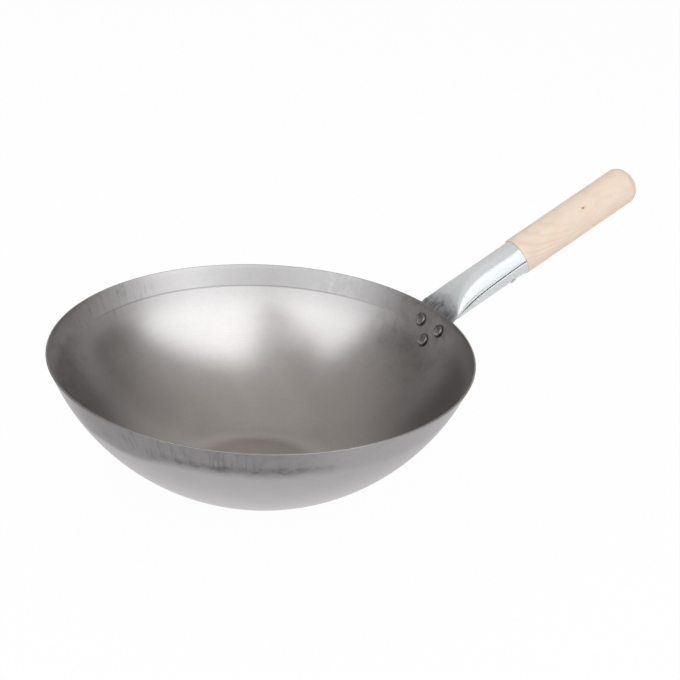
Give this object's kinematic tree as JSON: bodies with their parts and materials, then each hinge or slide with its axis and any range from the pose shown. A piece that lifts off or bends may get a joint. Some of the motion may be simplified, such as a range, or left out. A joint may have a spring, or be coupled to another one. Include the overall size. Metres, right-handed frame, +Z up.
{
  "type": "wok",
  "caption": "Round flat-bottomed carbon steel wok: open spun bowl with a straight band under the rim and a riveted, upward-slanting steel socket handle with a round wood grip.",
  "frame": {"origin": "centre of the flat base, on the table", "axes": "+Z up along the bowl's axis, +X from the bowl towards the end of the handle, +Y to the left of the handle seen from the bowl"},
  "size_m": [0.5701, 0.3594, 0.2219],
  "materials": {
    "carbon_steel": "satin dark grey, spun and oiled",
    "plated_steel": "bright zinc plating",
    "beech": "bare, sanded, pale",
    "nail_steel": "bright",
    "rivet_steel": "satin dark grey"
  },
  "bodies": {
    "root": {"bowl": "carbon_steel", "handle_socket": "plated_steel", "wood_grip": "beech", "retaining_nail": "nail_steel", "rivet_lower": "rivet_steel", "rivet_upper_left": "rivet_steel", "rivet_upper_right": "rivet_steel"}
  },
  "joints": []
}
